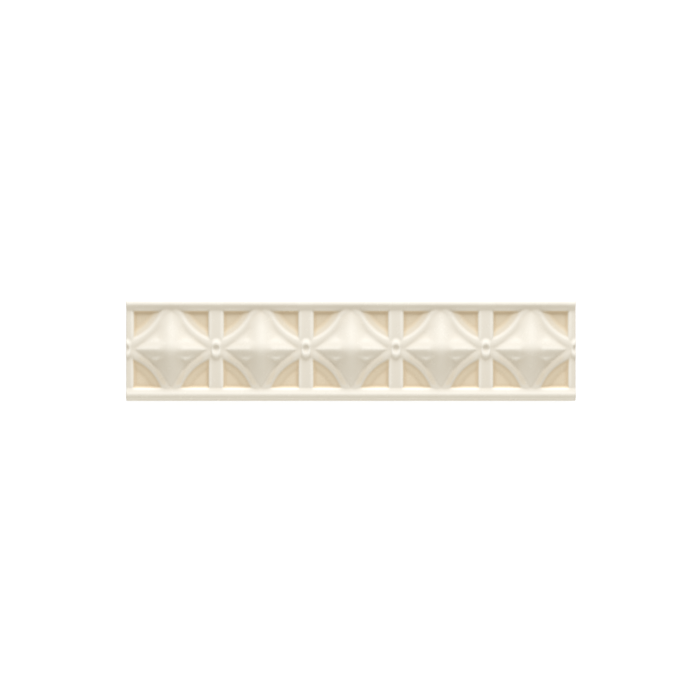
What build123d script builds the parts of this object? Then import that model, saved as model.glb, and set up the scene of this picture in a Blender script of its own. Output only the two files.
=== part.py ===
"""Relief border tile: one fired ceramic strip with rails, bars, curved straps and four-point stars.

Millimetres, +Z up. The origin is the middle of the flat back, so the tile lies on Z = 0 with its relief up.
+X runs along the strip and +Y across it.
"""
import math
import os

from build123d import *

# Overall strip, a row of equal panels
panel_count = 5
bar_pitch = 40.0
tile_width = 46.0
floor_height = 6.75

# Rails along both long edges, each place measured inward from the edge
side_height = 6.2
rail_height = 8.9
rail_crest_inset = 2.9
bead_foot_inset = 4.0
bead_foot_height = 8.6
lip_inset = 5.5
lip_height = 8.05
recess_inset = 6.4

# Cross bars between the panels, with half a bar at each end of the strip
bar_height = 7.95
bar_top_width = 5.8
bar_foot_width = 7.8
bar_edge_radius = 0.5

# Round-ended button on the middle of each bar, with a dimple
button_height = 8.7
button_top_length = 6.2
button_top_width = 3.2
button_foot_length = 9.8
button_foot_width = 5.6
dimple_diameter = 4.0
dimple_depth = 0.5

# Curved straps, arcs about a centre past each corner of a panel
strap_centre_past_bar = 4.6
strap_centre_past_edge = 1.6
strap_radius = 23.8
strap_height = 8.15
strap_crest_half_width = 1.9
strap_crest_rise = 0.2
strap_step_run = 1.0
strap_step_height = 7.4
strap_ledge_run = 1.6
strap_ledge_height = 7.15
strap_foot_run = 1.7

# Four-point stars on the ground inside the straps
ground_height = 8.05
star_height = 13.1
star_side_tip_gap = 0.1
star_upright_tip_gap = -0.1
star_waist = 9.8

# How far one feature runs into the next one below it
sink = 0.4

tile_length = panel_count * bar_pitch
half_width = tile_width / 2
bar_places = [(bar_pitch * (number - panel_count / 2), 0) for number in range(panel_count + 1)]
panel_places = [(bar_pitch * (number + 0.5 - panel_count / 2), 0) for number in range(panel_count)]
strap_centre_x = bar_pitch / 2 + strap_centre_past_bar
strap_centre_y = half_width + strap_centre_past_edge
rail_crest_y = half_width - rail_crest_inset
dimple_radius = (dimple_diameter**2 / 4 + dimple_depth**2) / (2 * dimple_depth)
dimple_centre_height = button_height - dimple_depth + dimple_radius


def run_down(top, foot, depth):
    """Carries the slope from one (across, height) point to another on below the second one by a depth."""
    across = foot[0] + (foot[0] - top[0]) * depth / (top[1] - foot[1])
    return across, foot[1] - depth


# Curved strap, turned about its own centre from inside a rail to inside a bar
rail_end_angle = math.degrees(math.asin((strap_centre_y - rail_crest_y) / strap_radius))
bar_end_angle = math.degrees(math.asin(strap_centre_past_bar / strap_radius))
crest_inner = (strap_radius + strap_crest_half_width, strap_height - strap_crest_rise)
crest_outer = (strap_radius - strap_crest_half_width, strap_height - strap_crest_rise)
step_foot = (crest_outer[0] - strap_step_run, strap_step_height)
ledge_edge = (step_foot[0] - strap_ledge_run, strap_ledge_height)
floor_foot = (ledge_edge[0] - strap_foot_run, floor_height)

with BuildPart() as strap:
    with BuildSketch(Plane.XZ.rotated((0, 0, 180 + rail_end_angle))) as strap_section:
        with BuildLine() as strap_outline:
            ThreePointArc(crest_inner, (strap_radius, strap_height), crest_outer)
            Polyline(
                crest_outer,
                step_foot,
                ledge_edge,
                run_down(ledge_edge, floor_foot, sink),
                (crest_inner[0], floor_height - sink),
                crest_inner,
            )
        make_face()
    revolve(axis=Axis.Z, revolution_arc=90 - rail_end_angle - bar_end_angle)

# Four-point star, a pyramid whose outline is given on the ground and runs on below it
star_spread = (star_height - ground_height + sink) / (star_height - ground_height)
side_tip = (bar_pitch / 2 - bar_foot_width / 2 - star_side_tip_gap, 0)
upright_tip = (0, half_width - recess_inset - star_upright_tip_gap)
waist = (star_waist / math.sqrt(2), star_waist / math.sqrt(2))

with BuildPart() as star:
    with BuildSketch(Plane.XY.offset(ground_height - sink)) as star_base:
        with BuildLine() as star_outline:
            Polyline((0, 0), side_tip, waist, upright_tip, close=True)
        make_face()
        mirror(about=Plane.YZ)
        mirror(about=Plane.XZ)
        scale(by=star_spread)
    loft(sections=[star_base.sketch, Vertex(0, 0, star_height)])

# Ornament of one panel
with BuildPart() as panel:
    with Locations((strap_centre_x, strap_centre_y)):
        add(strap.part)
    mirror(about=Plane.YZ)
    mirror(about=Plane.XZ)
    add(star.part)

# Cross bar with the button on its middle
button_top_edge = (button_top_length / 2, button_height)
button_foot_edge = (button_foot_length / 2, bar_height)

with BuildPart() as bar:
    with BuildSketch(Plane.XZ) as bar_section:
        with BuildLine() as bar_outline:
            Polyline(
                (-bar_foot_width / 2, floor_height - sink),
                (-bar_foot_width / 2, floor_height),
                (-bar_top_width / 2, bar_height),
                (bar_top_width / 2, bar_height),
                (bar_foot_width / 2, floor_height),
                (bar_foot_width / 2, floor_height - sink),
                close=True,
            )
        make_face()
        fillet(bar_section.vertices().group_by(Axis.Y)[-1], bar_edge_radius)
    extrude(amount=rail_crest_y, both=True)
    with BuildSketch(Plane.XY.offset(bar_height - sink)) as button_foot:
        SlotOverall(2 * run_down(button_top_edge, button_foot_edge, sink)[0], button_foot_width, rotation=90)
    with BuildSketch(Plane.XY.offset(button_height)) as button_top:
        SlotOverall(button_top_length, button_top_width, rotation=90)
    loft()

# Whole tile
rail_crest = (rail_crest_y, rail_height)
bead_foot = (half_width - bead_foot_inset, bead_foot_height)

with BuildPart() as border_tile:
    with BuildSketch(Plane.YZ) as tile_section:
        with BuildLine() as tile_outline:
            Polyline((0, 0), (half_width, 0), (half_width, side_height))
            TangentArc(rail_crest, (half_width, side_height), tangent=(1, 0))
            TangentArc(rail_crest, bead_foot, tangent=(-1, 0))
            Polyline(
                bead_foot,
                (half_width - lip_inset, lip_height),
                (half_width - recess_inset, floor_height),
                (0, floor_height),
            )
            mirror(about=Plane.YZ)
        make_face()
    extrude(amount=tile_length / 2, both=True)

    # Raised ground inside the straps
    with BuildSketch(Plane.XY.offset(floor_height - sink)) as ground:
        Rectangle(tile_length, 2 * rail_crest_y)
        for panel_x, panel_y in panel_places:
            with Locations((panel_x, panel_y)):
                with GridLocations(2 * strap_centre_x, 2 * strap_centre_y, 2, 2):
                    Circle(strap_radius, mode=Mode.SUBTRACT)
    extrude(amount=ground_height - floor_height + sink)

    with Locations(*panel_places):
        add(panel.part)
    with Locations(*bar_places):
        add(bar.part)
    with Locations(*[(bar_x, bar_y, dimple_centre_height) for bar_x, bar_y in bar_places]):
        Sphere(dimple_radius, mode=Mode.SUBTRACT)

    # The end bars are cut through by the ends of the strip
    with BuildSketch(Plane.XY) as tile_plan:
        Rectangle(tile_length, tile_width)
    extrude(amount=star_height + sink, mode=Mode.INTERSECT)

border_tile.part.label = "border_tile"
os.makedirs("parts", exist_ok=True)
export_step(border_tile.part, "parts/border_tile.step")
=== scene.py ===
"""Cream glazed relief border tile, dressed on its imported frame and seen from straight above.

Metres, +Z up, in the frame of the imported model: the flat back lies on Z = 0 and the relief faces up.
"""
from __future__ import annotations

import logging
import math
from dataclasses import dataclass, field
from enum import Enum

import bpy
import numpy as np
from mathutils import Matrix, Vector


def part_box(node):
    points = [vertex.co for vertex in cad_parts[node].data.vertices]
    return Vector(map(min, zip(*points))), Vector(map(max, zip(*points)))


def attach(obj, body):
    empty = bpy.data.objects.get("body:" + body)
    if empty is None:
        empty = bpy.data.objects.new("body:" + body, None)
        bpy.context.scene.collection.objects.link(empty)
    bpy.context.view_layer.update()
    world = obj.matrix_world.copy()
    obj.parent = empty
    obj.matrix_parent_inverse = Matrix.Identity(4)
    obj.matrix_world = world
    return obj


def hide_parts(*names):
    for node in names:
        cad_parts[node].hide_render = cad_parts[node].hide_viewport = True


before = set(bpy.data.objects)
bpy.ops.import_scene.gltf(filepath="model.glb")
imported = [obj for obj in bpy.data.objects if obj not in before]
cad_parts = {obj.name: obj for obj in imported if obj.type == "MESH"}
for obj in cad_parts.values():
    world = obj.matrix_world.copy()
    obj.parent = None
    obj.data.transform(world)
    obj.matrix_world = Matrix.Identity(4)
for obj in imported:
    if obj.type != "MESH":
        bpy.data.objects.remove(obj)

LOG = logging.getLogger("border_tile")
NODE = "border_tile"
MM = 0.001

Colour = tuple[float, float, float]


class Coat(Enum):
    """Material slots of the tile, in their order on the mesh."""

    GLAZE = 0
    BISCUIT = 1


def deselect_all() -> None:
    """Leaves every object unselected, in object mode."""
    if bpy.context.object and bpy.context.object.mode != "OBJECT":
        bpy.ops.object.mode_set(mode="OBJECT")
    bpy.ops.object.select_all(action="DESELECT")


def make_active(piece: bpy.types.Object) -> None:
    """Selects one object alone and makes it the active one.

    Args:
        piece: the object.
    """
    deselect_all()
    piece.select_set(True)
    bpy.context.view_layer.objects.active = piece


def apply_modifier(piece: bpy.types.Object, modifier: bpy.types.Modifier) -> None:
    """Applies one modifier to its mesh."""
    make_active(piece)
    bpy.ops.object.modifier_apply(modifier=modifier.name)


def points_of(piece: bpy.types.Object) -> np.ndarray:
    """Reads the vertex positions of a mesh.

    Args:
        piece: the mesh object.

    Returns:
        One row of x, y, z for each vertex.
    """
    points = np.zeros(len(piece.data.vertices) * 3)
    piece.data.vertices.foreach_get("co", points)
    return points.reshape(-1, 3)


def fade(distance: np.ndarray, run: float) -> np.ndarray:
    """Rises from 0 at no distance to 1 at the end of a run, and stays there.

    Args:
        distance: how far each point lies inside a border.
        run: length over which the value rises.

    Returns:
        One value from 0 to 1 for each point.
    """
    return np.clip(distance / run, 0.0, 1.0)


def select_points(piece: bpy.types.Object, chosen: np.ndarray) -> None:
    """Selects vertices in edit mode, and the edges and faces between them.

    Args:
        piece: the mesh object, which is left in edit mode.
        chosen: one truth value for each vertex.
    """
    make_active(piece)
    bpy.ops.object.mode_set(mode="EDIT")
    bpy.ops.mesh.select_mode(type="VERT")
    bpy.ops.mesh.select_all(action="DESELECT")
    bpy.ops.object.mode_set(mode="OBJECT")
    piece.data.vertices.foreach_set("select", chosen)
    bpy.ops.object.mode_set(mode="EDIT")
    bpy.ops.mesh.select_mode(type="EDGE")


@dataclass
class NodeBoard:
    """A material's node tree, with short calls to add and join nodes."""

    material: bpy.types.Material
    nodes: bpy.types.Nodes = field(init=False)
    links: bpy.types.NodeLinks = field(init=False)
    shader: bpy.types.Node = field(init=False)

    def __post_init__(self) -> None:
        """Finds the shader of a fresh node tree."""
        self.material.use_nodes = True
        self.nodes = self.material.node_tree.nodes
        self.links = self.material.node_tree.links
        self.shader = self.nodes["Principled BSDF"]

    def add(self, kind: str, **settings: object) -> bpy.types.Node:
        """Adds a node.

        Args:
            kind: the node's type name.
            settings: node properties, or inputs where the node has no such property.

        Returns:
            The new node.
        """
        node = self.nodes.new(kind)
        for name, value in settings.items():
            if hasattr(node, name):
                setattr(node, name, value)
            else:
                node.inputs[name.replace("_", " ").title()].default_value = value
        return node

    def join(self, source: bpy.types.NodeSocket, target: bpy.types.NodeSocket) -> None:
        """Links an output to an input."""
        self.links.new(source, target)

    def object_noise(self, scale: float, detail: float = 2.0) -> bpy.types.NodeSocket:
        """Adds noise on object coordinates.

        Args:
            scale: how many waves fit in a metre.
            detail: octaves of finer noise.

        Returns:
            The noise value.
        """
        place = self.add("ShaderNodeTexCoord")
        noise = self.add("ShaderNodeTexNoise", Scale=scale, Detail=detail)
        self.join(place.outputs["Object"], noise.inputs["Vector"])
        return noise.outputs["Fac"]

    def around_zero(self, value: bpy.types.NodeSocket, reach: float) -> bpy.types.NodeSocket:
        """Turns a value from 0 to 1 into a change about zero.

        Args:
            value: the value, such as noise.
            reach: the whole range of the change.

        Returns:
            The change.
        """
        centred = self.add("ShaderNodeMath", operation="SUBTRACT")
        centred.inputs[1].default_value = 0.5
        change = self.add("ShaderNodeMath", operation="MULTIPLY")
        change.inputs[1].default_value = reach
        self.join(value, centred.inputs[0])
        self.join(centred.outputs[0], change.inputs[0])
        return change.outputs[0]

    def ramp(self, value: bpy.types.NodeSocket, stops: dict[float, Colour]) -> bpy.types.NodeSocket:
        """Turns a value into a colour.

        Args:
            value: the value that is looked up.
            stops: colour at each place on the ramp.

        Returns:
            The colour.
        """
        ramp = self.add("ShaderNodeValToRGB")
        elements = ramp.color_ramp.elements
        places = sorted(stops)
        while len(elements) < len(places):
            elements.new(0.5)
        for element, place in zip(elements, places):
            element.position = place
            element.color = (*stops[place], 1.0)
        self.join(value, ramp.inputs["Fac"])
        return ramp.outputs["Color"]


@dataclass(frozen=True)
class CreamGlaze:
    """Cream gloss glaze that thins to ivory on the edges and pools to tan in the hollows; the same ramp
    also carries painted highlights (ivory) and painted shade (tan).
    """

    # Ivory of thin glaze on edges, also the colour of painted highlights.
    thin_and_highlight: Colour = (0.89, 0.855, 0.77)
    even: Colour = (0.81, 0.762, 0.665)
    # Tans of thicker glaze, also the colours of painted shade in creases and on the lower half.
    settled_and_shaded: Colour = (0.80, 0.69, 0.515)
    pooled_and_shaded: Colour = (0.74, 0.605, 0.42)
    roughness: float = 0.26
    cloudiness: float = 0.12
    gloss_change: float = 0.12
    cloud_scale: float = 110.0
    cloud_detail: float = 3.0
    gloss_scale: float = 260.0
    even_depth: float = 0.3
    settled_depth: float = 0.6
    attribute: str = "glaze_depth_and_painted_light"

    def material(self) -> bpy.types.Material:
        """Makes the glaze's material.

        Returns:
            The material, which reads the glaze's depth, with painted highlight and painted shade mixed in,
            from its attribute.
        """
        board = NodeBoard(bpy.data.materials.new("cream_glaze"))
        depth = board.add("ShaderNodeAttribute", attribute_name=self.attribute)
        clouds = board.around_zero(board.object_noise(self.cloud_scale, self.cloud_detail), self.cloudiness)
        mixed = board.add("ShaderNodeMath", operation="ADD")
        board.join(depth.outputs["Fac"], mixed.inputs[0])
        board.join(clouds, mixed.inputs[1])
        stops = {
            0.0: self.thin_and_highlight,
            self.even_depth: self.even,
            self.settled_depth: self.settled_and_shaded,
            1.0: self.pooled_and_shaded,
        }
        board.join(board.ramp(mixed.outputs[0], stops), board.shader.inputs["Base Color"])
        gloss = board.add("ShaderNodeMath", operation="ADD")
        gloss.inputs[1].default_value = self.roughness
        patches = board.around_zero(board.object_noise(self.gloss_scale), self.gloss_change)
        board.join(patches, gloss.inputs[0])
        board.join(gloss.outputs[0], board.shader.inputs["Roughness"])
        return board.material


@dataclass(frozen=True)
class FiredBiscuit:
    """Bare fired body on the back, pale and matt."""

    pale: Colour = (0.74, 0.68, 0.58)
    dark: Colour = (0.62, 0.55, 0.45)
    roughness: float = 0.85
    speckle_scale: float = 900.0
    speckle_detail: float = 4.0
    dark_stop: float = 0.35
    pale_stop: float = 0.65

    def material(self) -> bpy.types.Material:
        """Makes the bare body's material.

        Returns:
            The material.
        """
        board = NodeBoard(bpy.data.materials.new("fired_biscuit"))
        speckle = board.object_noise(self.speckle_scale, self.speckle_detail)
        colour = board.ramp(speckle, {self.dark_stop: self.dark, self.pale_stop: self.pale})
        board.join(colour, board.shader.inputs["Base Color"])
        board.shader.inputs["Roughness"].default_value = self.roughness
        return board.material


@dataclass
class StarLips:
    """Thin lens-shaped lips on the side petals of every star, on both halves or on one alone."""

    panel_count: int
    pitch: float
    reach: float = 6.8 * MM
    across: float = 2.2 * MM
    height: float = 9.92 * MM
    slope_along: float = 0.316
    slope_across: float = 0.35
    half_length: float = 4.3 * MM
    half_width: float = 2.6 * MM
    thickness: float = 0.16 * MM
    both_halves: bool = True
    segments: int = 64
    rings: int = 32

    @classmethod
    def small_leaves(cls, panel_count: int, pitch: float) -> StarLips:
        """Sizes of the small flat leaves at the edge of the lower lips.

        Args:
            panel_count: how many stars there are.
            pitch: length of one panel.

        Returns:
            The leaves, on the lower half alone.
        """
        return cls(
            panel_count,
            pitch,
            reach=6.5 * MM,
            across=-3.9 * MM,
            height=9.6 * MM,
            slope_across=0.02,
            half_length=2.2 * MM,
            half_width=0.9 * MM,
            thickness=0.12 * MM,
            both_halves=False,
        )

    def build(self) -> bpy.types.Object:
        """Makes one lip and mirrors and repeats it over the tile.

        Returns:
            All the lips as one mesh.
        """
        lean = -math.atan(math.copysign(self.slope_across, self.across))
        deselect_all()
        bpy.ops.mesh.primitive_uv_sphere_add(
            segments=self.segments,
            ring_count=self.rings,
            radius=1.0,
            location=(self.reach, self.across, self.height),
            rotation=(lean, math.atan(self.slope_along), 0.0),
            scale=(self.half_length, self.half_width, self.thickness),
        )
        lips = bpy.context.object
        lips.name = "star_lips"
        bpy.ops.object.transform_apply(location=True, rotation=True, scale=True)
        mirror = lips.modifiers.new("four_ways", "MIRROR")
        mirror.use_axis = (True, self.both_halves, False)
        mirror.use_mirror_merge = False
        apply_modifier(lips, mirror)
        row = lips.modifiers.new("every_star", "ARRAY")
        row.count = self.panel_count
        row.use_relative_offset = False
        row.use_constant_offset = True
        row.constant_offset_displace = (self.pitch, 0.0, 0.0)
        apply_modifier(lips, row)
        bpy.ops.object.mode_set(mode="EDIT")
        bpy.ops.mesh.select_all(action="SELECT")
        bpy.ops.transform.translate(value=(-self.pitch * (self.panel_count - 1) / 2, 0.0, 0.0))
        bpy.ops.object.mode_set(mode="OBJECT")
        return lips


@dataclass(frozen=True)
class Band:
    """A stretch on both sides of a middle line that fades out at its border."""

    half_width: float
    run: float

    def weight(self, distance: np.ndarray) -> np.ndarray:
        """Tells how far points at a distance from the middle line lie inside, from 0 to 1."""
        return fade(self.half_width - np.abs(distance), self.run)


@dataclass(frozen=True)
class GlazeFlow:
    """Shares of the glaze's depth that each form adds or takes away, with painted highlight and painted
    shade among them.
    """

    recess: float = 0.33
    # Pooled glaze in creases, which also darkens the creases as painted shade, most of all in the recesses.
    crease: float = 0.05
    crease_in_recess: float = 0.38
    edge: float = 0.35
    # Thin glaze and a painted highlight on the lip rims, the painted highlight stronger on the shaded lower
    # half.
    rim_highlight: float = 0.06
    lower_rim_highlight: float = 0.09
    # Painted highlight on the side petals of the shaded lower half.
    lower_petal_highlight: float = 0.08
    # Painted highlight on the bars of the lit upper half.
    upper_bar_highlight: float = 0.07
    # Painted shade on the straps, much stronger on the shaded lower half.
    strap: float = 0.02
    lower_strap_shade: float = 0.15
    settling_steps: int = 36
    full_crease: float = 0.16 * MM


@dataclass
class BorderTile:
    """The tile: a skin laid over the relief, softened as by glaze, with its sides and back."""

    low: Vector
    high: Vector
    panel_count: int = 5
    cells_to_half_panel: int = 59
    rim_width: float = 0.6 * MM
    outline_gap: float = 0.02 * MM
    edge_radius: float = 0.45 * MM
    edge_segments: int = 4
    soften_steps: int = 5
    soften_factor: float = 0.5
    least_weight: float = 0.01
    back_along: Band = Band(5.5 * MM, 2 * MM)
    back_across: Band = Band(16 * MM, 4 * MM)
    back_steps: int = 220
    strap_centre: tuple[float, float] = (24.6 * MM, 24.6 * MM)
    ridge_across: Band = Band(2.6 * MM, MM)
    ridge_along: Band = Band(15.5 * MM, 3 * MM)
    ridge_steps: int = 26
    foot_radius: float = 24.6 * MM
    hollow_start: float = 0.8 * MM
    hollow_end: float = 2.5 * MM
    hollow_fade: float = 0.8 * MM
    hollow_along: Band = Band(13 * MM, 3 * MM)
    hollow_across: Band = Band(17 * MM, 3 * MM)
    groove_along: Band = Band(14 * MM, 4 * MM)
    groove_across: Band = Band(16 * MM, 2 * MM)
    foot_half_width: float = 1.1 * MM
    foot_depth: float = 0.18 * MM
    foot_steps: int = 36
    strap_edge_radius: float = 21.6 * MM
    strap_across: Band = Band(16.5 * MM, MM)
    strap_along: Band = Band(15.5 * MM, 2 * MM)
    bar_edge: float = 16.3 * MM
    petal_start: float = 4 * MM
    petal_inset: float = MM
    petal_across: Band = Band(4.5 * MM, MM)
    rim_place: float = 0.65
    rim_half_width: float = 0.25
    rim_fullness: float = 1.8
    rim_start: float = 0.4
    dimple_half_length: float = 2.0 * MM
    dimple_half_width: float = 1.6 * MM
    dimple_shift: float = 0.5 * MM
    dimple_depth: float = 0.22 * MM
    recess_level: float = 7.72 * MM
    recess_depth: float = 0.6 * MM
    # Painted shade: the recess tan reaches higher on the lower half and lower on the upper half.
    shade_level_shift: float = 0.22 * MM
    recess_across: Band = Band(17.8 * MM, MM)
    flow: GlazeFlow = GlazeFlow()
    facing_down: float = -0.9
    facing_up: float = 0.02
    piece: bpy.types.Object = field(init=False)

    @property
    def pitch(self) -> float:
        """Length of one panel."""
        return (self.high.x - self.low.x) / self.panel_count

    def build(self) -> bpy.types.Object:
        """Makes the finished tile.

        Returns:
            The tile, standing for its node and riding on the root body.
        """
        self._lay_grid()
        self._add_rim()
        self._lay_on_relief()
        self._round_upright_petals()
        self._round_side_ridges()
        self._fill_upper_feet()
        self._sink_lower_feet()
        self._deepen_dimples()
        self._soften(self.piece, self.soften_steps)
        self._store_glaze_and_painted_light()
        self._close_sides_and_back()
        self._dress()
        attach(self.piece, "root")
        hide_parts(NODE)
        return self.piece

    def _lay_grid(self) -> None:
        """Adds a grid over the tile whose lines run along every ridge of the stars."""
        cell_x = self.pitch / 2 / self.cells_to_half_panel
        first = math.ceil(self.rim_width / cell_x)
        last = math.floor((self.high.x - self.low.x - self.rim_width) / cell_x)
        width = self.high.y - self.low.y - 2 * self.rim_width
        rows = 2 * round(width / cell_x / 2)
        length = (last - first) * cell_x
        middle = self.low.x + (first + last) / 2 * cell_x
        deselect_all()
        bpy.ops.mesh.primitive_grid_add(x_subdivisions=last - first, y_subdivisions=rows, size=1.0)
        self.piece = bpy.context.object
        self.piece.name = "glazed_border_tile"
        bpy.ops.object.mode_set(mode="EDIT")
        bpy.ops.transform.resize(value=(length, width, 1.0), center_override=(0.0, 0.0, 0.0))
        bpy.ops.transform.translate(value=(middle, 0.0, 2 * self.high.z))
        bpy.ops.object.mode_set(mode="OBJECT")

    def _add_rim(self) -> None:
        """Widens the grid by one row of faces to just inside the tile's outline."""
        points = points_of(self.piece)
        grid_low, grid_high = points.min(axis=0), points.max(axis=0)
        make_active(self.piece)
        bpy.ops.object.mode_set(mode="EDIT")
        bpy.ops.mesh.select_mode(type="EDGE")
        bpy.ops.mesh.select_all(action="DESELECT")
        bpy.ops.mesh.select_non_manifold()
        bpy.ops.mesh.extrude_region_move(TRANSFORM_OT_translate={"value": (0.0, 0.0, 0.0)})
        target_low = Vector(self.low) + Vector((1, 1, 0)) * self.outline_gap
        target_high = Vector(self.high) - Vector((1, 1, 0)) * self.outline_gap
        stretch = [(target_high[i] - target_low[i]) / (grid_high[i] - grid_low[i]) for i in range(2)]
        centre = [(target_low[i] - stretch[i] * grid_low[i]) / (1 - stretch[i]) for i in range(2)]
        bpy.ops.transform.resize(
            value=(stretch[0], stretch[1], 1.0), center_override=(centre[0], centre[1], grid_low[2])
        )
        bpy.ops.object.mode_set(mode="OBJECT")

    def _lay_on_relief(self) -> None:
        """Lays the grid straight down on the CAD relief and its fine lips."""
        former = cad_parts[NODE].copy()
        former.data = former.data.copy()
        bpy.context.scene.collection.objects.link(former)
        lips = StarLips(self.panel_count, self.pitch).build()
        leaves = StarLips.small_leaves(self.panel_count, self.pitch).build()
        make_active(former)
        lips.select_set(True)
        leaves.select_set(True)
        bpy.ops.object.join()
        wrap = self.piece.modifiers.new("lay_on_relief", "SHRINKWRAP")
        wrap.target = former
        wrap.wrap_method = "PROJECT"
        wrap.use_project_z = True
        wrap.use_negative_direction = True
        wrap.use_positive_direction = False
        apply_modifier(self.piece, wrap)
        bpy.data.meshes.remove(former.data)
        missed = int((points_of(self.piece)[:, 2] > self.high.z + MM).sum())
        LOG.info("skin points that missed the relief: %d", missed)

    def _places_in_panel(self) -> tuple[np.ndarray, np.ndarray]:
        """Measures the places of the skin's points from the middle of their own panel.

        Returns:
            The distances along and across the strip.
        """
        points = points_of(self.piece)
        along = (points[:, 0] - self.low.x) % self.pitch - self.pitch / 2
        return along, points[:, 1]

    def _round_upright_petals(self) -> None:
        """Rounds the backs of the upright petals and the stars' middles more than the rest."""
        along, across = self._places_in_panel()
        backs = self.back_along.weight(along) * self.back_across.weight(across)
        self._soften_where(backs, self.back_steps)

    def _round_side_ridges(self) -> None:
        """Rounds the ridges that run along the side petals to their tips."""
        along, across = self._places_in_panel()
        ridges = self.ridge_across.weight(across) * self.ridge_along.weight(along)
        self._soften_where(ridges, self.ridge_steps)

    def _radius_from_strap_centre(self) -> np.ndarray:
        """Distance of the skin's points from the centre of the strap in their own quarter."""
        along, across = self._places_in_panel()
        return np.hypot(self.strap_centre[0] - np.abs(along), self.strap_centre[1] - np.abs(across))

    def _lower_half(self) -> np.ndarray:
        """Tells the half towards the lower rail, as 1, from the upper one, as 0."""
        return fade(MM - points_of(self.piece)[:, 1], 2 * MM)

    def _fill_upper_feet(self) -> None:
        """Draws the upper feet of the stars out to the straps in a hollow curve."""
        along, across = self._places_in_panel()
        radius = self._radius_from_strap_centre()
        ring = fade(radius - self.foot_radius + self.hollow_start, self.hollow_fade)
        ring *= fade(self.foot_radius + self.hollow_end - radius, self.hollow_fade)
        ring *= self.hollow_along.weight(along) * self.hollow_across.weight(across)
        self._soften_where(ring * (1.0 - self._lower_half()), self.foot_steps)

    def _sink_lower_feet(self) -> None:
        """Sinks a shallow groove between the lower feet of the stars and the straps."""
        along, across = self._places_in_panel()
        off_line = np.abs(self._radius_from_strap_centre() - self.foot_radius)
        groove = np.cos(np.minimum(off_line / self.foot_half_width, 1.0) * math.pi / 2) ** 2
        groove *= self.groove_along.weight(along) * self.groove_across.weight(across)
        groove *= self._lower_half()
        self._sink_where(groove, self.foot_depth)

    def _deepen_dimples(self) -> None:
        """Sinks the middle of each button's dimple, a little towards the upper rail."""
        along, across = self._places_in_panel()
        beside = (self.pitch / 2 - np.abs(along)) / self.dimple_half_length
        off_middle = np.hypot(beside, (across - self.dimple_shift) / self.dimple_half_width)
        self._sink_where(np.cos(np.minimum(off_middle, 1.0) * math.pi / 2), self.dimple_depth)

    def _sink_where(self, weight: np.ndarray, depth: float) -> None:
        """Sinks part of the skin.

        Args:
            weight: how much each point sinks, from 0 to 1.
            depth: how far a point of full weight sinks.
        """
        sink = self.piece.modifiers.new("sink", "DISPLACE")
        sink.vertex_group = self._group(weight)
        sink.direction = "Z"
        sink.mid_level = 0.0
        sink.strength = -depth
        apply_modifier(self.piece, sink)
        self.piece.vertex_groups.clear()

    def _group(self, weight: np.ndarray) -> str:
        """Makes a vertex group.

        Args:
            weight: how much each point takes part, from 0 to 1.

        Returns:
            The group's name.
        """
        group = self.piece.vertex_groups.new(name="part_of_skin")
        for index in np.flatnonzero(weight > self.least_weight):
            group.add([int(index)], float(weight[index]), "REPLACE")
        return group.name

    def _soften_where(self, weight: np.ndarray, steps: int) -> None:
        """Rounds heights over part of the skin.

        Args:
            weight: how much each point takes part, from 0 to 1.
            steps: how often each height moves towards its neighbours.
        """
        self._soften(self.piece, steps, self._group(weight))
        self.piece.vertex_groups.clear()

    def _soften(self, piece: bpy.types.Object, steps: int, group: str = "") -> None:
        """Rounds heights over neighbouring points, as molten glaze does.

        Args:
            piece: the skin, or a copy of it.
            steps: how often each height moves towards its neighbours.
            group: vertex group that says where, or nothing for all over.
        """
        smooth = piece.modifiers.new("glaze_flow", "SMOOTH")
        smooth.vertex_group = group
        smooth.use_x = False
        smooth.use_y = False
        smooth.factor = self.soften_factor
        smooth.iterations = steps
        apply_modifier(piece, smooth)

    def _settled_heights(self, steps: int) -> np.ndarray:
        """Heights of a copy of the skin after more softening.

        Args:
            steps: how many softening steps the copy gets.

        Returns:
            One height for each vertex.
        """
        copy = self.piece.copy()
        copy.data = self.piece.data.copy()
        bpy.context.scene.collection.objects.link(copy)
        self._soften(copy, steps)
        heights = points_of(copy)[:, 2]
        bpy.data.meshes.remove(copy.data)
        return heights

    def _store_glaze_and_painted_light(self) -> None:
        """Stores how deep the glaze lies at each point, from 0 on edges to 1 in hollows, with painted
        highlights and painted shade mixed in.
        """
        heights = points_of(self.piece)[:, 2]
        across = np.abs(points_of(self.piece)[:, 1])
        lower = self._lower_half()
        # Painted shade: the recess tan starts higher on the lower half than on the upper half.
        level = self.recess_level + self.shade_level_shift * (2.0 * lower - 1.0)
        recess = fade(level - heights, self.recess_depth)
        recess *= self.recess_across.weight(across)
        flow = self.flow
        # Pooled glaze in creases together with painted shade in the creases.
        crease = (self._settled_heights(flow.settling_steps) - heights) / flow.full_crease
        crease = np.clip(crease, -1.0, 1.0)
        pool_and_crease_shade = np.maximum(crease, 0.0) * (flow.crease + flow.crease_in_recess * recess)
        thin_and_highlight = flow.edge * np.minimum(crease, 0.0)
        # Painted highlight on the lip rims, stronger on the lower half.
        thin_and_highlight -= (flow.rim_highlight + flow.lower_rim_highlight * lower) * self._lip_rim_highlights()
        # Painted highlight on the side petals of the lower half.
        thin_and_highlight -= flow.lower_petal_highlight * lower * self._side_petals()
        radius = self._radius_from_strap_centre()
        on_strap = fade(radius - self.strap_edge_radius, MM) * fade(self.foot_radius - radius, MM)
        along = np.abs(self._places_in_panel()[0])
        on_strap *= self.strap_across.weight(across) * self.strap_along.weight(along)
        # Painted highlight on the bars of the upper half.
        thin_and_highlight -= flow.upper_bar_highlight * (1.0 - lower) * fade(along - self.bar_edge, MM)
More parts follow.
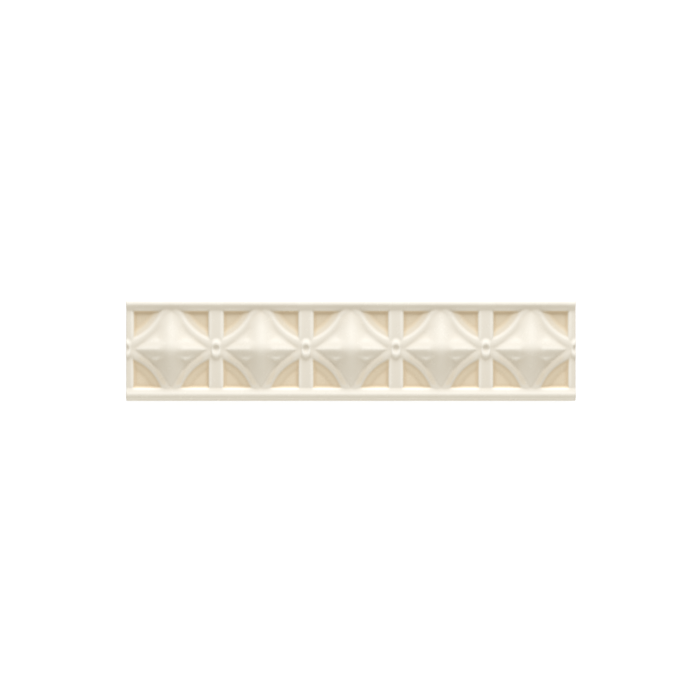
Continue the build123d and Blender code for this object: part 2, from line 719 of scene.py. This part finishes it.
        # Painted shade on the straps, mostly on the lower half.
        painted_strap_shade = (flow.strap + flow.lower_strap_shade * lower) * on_strap
        depth = np.clip(CreamGlaze.even_depth + flow.recess * recess + painted_strap_shade + pool_and_crease_shade + thin_and_highlight, 0.0, 1.0)
        depth[self._on_outline()] = CreamGlaze.even_depth
        store = self.piece.data.attributes.new(CreamGlaze.attribute, "FLOAT", "POINT")
        store.data.foreach_set("value", depth)

    def _side_petals(self) -> np.ndarray:
        """Finds the side petals of the stars, which get a painted highlight on the lower half.

        Returns:
            How far each point lies on a side petal, from 0 to 1.
        """
        along, across = self._places_in_panel()
        inside = self._radius_from_strap_centre() - self.foot_radius
        petals = fade(np.abs(along) - self.petal_start, MM) * fade(inside - self.petal_inset, MM)
        return petals * self.petal_across.weight(across)

    def _lip_rim_highlights(self) -> np.ndarray:
        """Finds the outer rims of the lips on the side petals, which get thin glaze and a painted
        highlight.

        Returns:
            How far each point lies on a rim, from 0 to 1.
        """
        along, across = self._places_in_panel()
        lips = StarLips(self.panel_count, self.pitch)
        reach = (np.abs(along) - lips.reach) / lips.half_length
        spread = (np.abs(across) - lips.across) / lips.half_width
        off_rim = np.abs(np.hypot(reach, spread) - self.rim_place) / self.rim_half_width
        return np.clip(self.rim_fullness - off_rim, 0.0, 1.0) * fade(spread, self.rim_start)

    def _on_outline(self) -> np.ndarray:
        """Finds the points that lie on the tile's outline.

        Returns:
            One truth value for each vertex.
        """
        points = points_of(self.piece)
        edge = self.outline_gap + 0.01 * MM
        return (np.abs(points[:, 0]) > self.high.x - edge) | (np.abs(points[:, 1]) > self.high.y - edge)

    def _close_sides_and_back(self) -> None:
        """Draws the rim down to the back, fills the back and rounds the outline."""
        make_active(self.piece)
        bpy.ops.object.mode_set(mode="EDIT")
        bpy.ops.mesh.select_mode(type="EDGE")
        bpy.ops.mesh.select_all(action="DESELECT")
        bpy.ops.mesh.select_non_manifold()
        bpy.ops.mesh.extrude_region_move(TRANSFORM_OT_translate={"value": (0.0, 0.0, 0.0)})
        bpy.ops.transform.resize(value=(1.0, 1.0, 0.0), center_override=(0.0, 0.0, self.low.z))
        bpy.ops.mesh.edge_face_add()
        bpy.ops.object.mode_set(mode="OBJECT")
        select_points(self.piece, self._on_outline() & (points_of(self.piece)[:, 2] > self.low.z + MM))
        bpy.ops.mesh.bevel(
            offset=self.edge_radius, segments=self.edge_segments, affect="EDGES", clamp_overlap=True
        )
        bpy.ops.mesh.select_all(action="SELECT")
        bpy.ops.mesh.normals_make_consistent(inside=False)
        bpy.ops.object.mode_set(mode="OBJECT")

    def _dress(self) -> None:
        """Gives the relief and sides the glaze, and the back the bare body."""
        self.piece.data.materials.clear()
        self.piece.data.materials.append(CreamGlaze().material())
        self.piece.data.materials.append(FiredBiscuit().material())
        make_active(self.piece)
        bpy.ops.object.shade_smooth()
        for face in self.piece.data.polygons:
            if face.normal.z < self.facing_down:
                face.material_index = Coat.BISCUIT.value
            face.use_smooth = face.normal.z > self.facing_up


@dataclass
class Studio:
    """Pale floor, soft light from above the upper rail, and the camera."""

    frame_width: float = 311.25 * MM
    lens: float = 100.0
    aim: tuple[float, float] = (-0.42 * MM, -0.31 * MM)
    relief_level: float = 8.0 * MM
    lamp_distance: float = 0.9
    key_height_angle: float = 20.0
    key_side_angle: float = 4.0
    key_size: float = 0.36
    key_power: float = 9.0
    key_colour: Colour = (0.83, 0.885, 1.0)
    fill_height_angle: float = 8.0
    fill_side_angle: float = 180.0
    fill_size: float = 0.5
    fill_power: float = 1.9
    fill_colour: Colour = (0.88, 0.94, 1.0)
    ambient: float = 0.65
    ambient_colour: Colour = (1.0, 0.95, 0.855)
    plain_white: Colour = (1.0, 1.0, 1.0)
    floor_size: float = 6.0
    floor_colour: Colour = (0.9, 0.9, 0.9)
    floor_glow: Colour = (0.84, 0.90, 1.0)
    floor_glow_level: float = 0.5

    def build(self) -> None:
        """Adds the floor, the light and the camera."""
        self._floor()
        rise, turn = self.key_height_angle, self.key_side_angle
        key = self._lamp("key_lamp", rise, turn, self.key_size, self.key_power)
        key.color = self.key_colour
        rise, turn = self.fill_height_angle, self.fill_side_angle
        fill = self._lamp("fill_lamp", rise, turn, self.fill_size, self.fill_power)
        fill.color = self.fill_colour
        self._world()
        self._camera()

    def _floor(self) -> None:
        """Adds a pale floor that stays white to the camera and keeps a soft shadow."""
        deselect_all()
        bpy.ops.mesh.primitive_plane_add(size=self.floor_size)
        floor = bpy.context.object
        floor.name = "floor"
        board = NodeBoard(bpy.data.materials.new("white_floor"))
        board.shader.inputs["Base Color"].default_value = (*self.floor_colour, 1.0)
        board.shader.inputs["Roughness"].default_value = 1.0
        board.shader.inputs["Specular IOR Level"].default_value = 0.0
        board.shader.inputs["Emission Color"].default_value = (*self.floor_glow, 1.0)
        path = board.add("ShaderNodeLightPath")
        glow = board.add("ShaderNodeMath", operation="MULTIPLY")
        glow.inputs[1].default_value = self.floor_glow_level
        seen = board.add("ShaderNodeMath", operation="MAXIMUM")
        board.join(path.outputs["Is Camera Ray"], seen.inputs[0])
        board.join(path.outputs["Is Glossy Ray"], seen.inputs[1])
        board.join(seen.outputs[0], glow.inputs[0])
        board.join(glow.outputs[0], board.shader.inputs["Emission Strength"])
        floor.data.materials.append(board.material)

    def _lamp(self, name: str, rise: float, turn: float, size: float, power: float) -> bpy.types.AreaLight:
        """Adds a soft square lamp that faces the tile.

        Args:
            name: the lamp's name.
            rise: degrees above the floor.
            turn: degrees from +Y towards +X.
            size: side of the lamp.
            power: watts.

        Returns:
            The lamp's light.
        """
        rise, turn = math.radians(rise), math.radians(turn)
        level = math.cos(rise)
        towards = Vector((math.sin(turn) * level, math.cos(turn) * level, math.sin(rise)))
        deselect_all()
        bpy.ops.object.light_add(type="AREA", location=towards * self.lamp_distance)
        lamp = bpy.context.object
        lamp.name = name
        lamp.rotation_euler = towards.to_track_quat("Z", "Y").to_euler()
        lamp.data.shape = "SQUARE"
        lamp.data.size = size
        lamp.data.energy = power
        lamp.visible_glossy = False
        return lamp.data

    def _world(self) -> None:
        """Sets even light all round, white to the camera."""
        world = bpy.data.worlds.new("studio")
        bpy.context.scene.world = world
        world.use_nodes = True
        nodes, links = world.node_tree.nodes, world.node_tree.links
        path = nodes.new("ShaderNodeLightPath")
        level = nodes.new("ShaderNodeMix")
        level.data_type = "FLOAT"
        level.inputs["A"].default_value = self.ambient
        level.inputs["B"].default_value = 1.0
        tint = nodes.new("ShaderNodeMix")
        tint.data_type = "RGBA"
        tint.inputs["A"].default_value = (*self.ambient_colour, 1.0)
        tint.inputs["B"].default_value = (*self.plain_white, 1.0)
        links.new(path.outputs["Is Camera Ray"], level.inputs["Factor"])
        links.new(path.outputs["Is Camera Ray"], tint.inputs["Factor"])
        links.new(level.outputs["Result"], nodes["Background"].inputs["Strength"])
        links.new(tint.outputs["Result"], nodes["Background"].inputs["Color"])

    def _camera(self) -> None:
        """Hangs the camera straight above the tile, at the photograph's scale."""
        data = bpy.data.cameras.new("camera")
        data.lens = self.lens
        camera = bpy.data.objects.new("camera", data)
        bpy.context.scene.collection.objects.link(camera)
        distance = self.frame_width * self.lens / data.sensor_width
        camera.location = (*self.aim, self.relief_level + distance)
        bpy.context.scene.camera = camera


def main() -> None:
    """Builds the tile and the studio."""
    logging.basicConfig(level=logging.INFO)
    bpy.context.scene.view_settings.view_transform = "Standard"
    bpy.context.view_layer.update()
    tile = BorderTile(*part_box(NODE)).build()
    LOG.info("%s: %d faces", tile.name, len(tile.data.polygons))
    Studio().build()


if __name__ == "__main__":
    main()
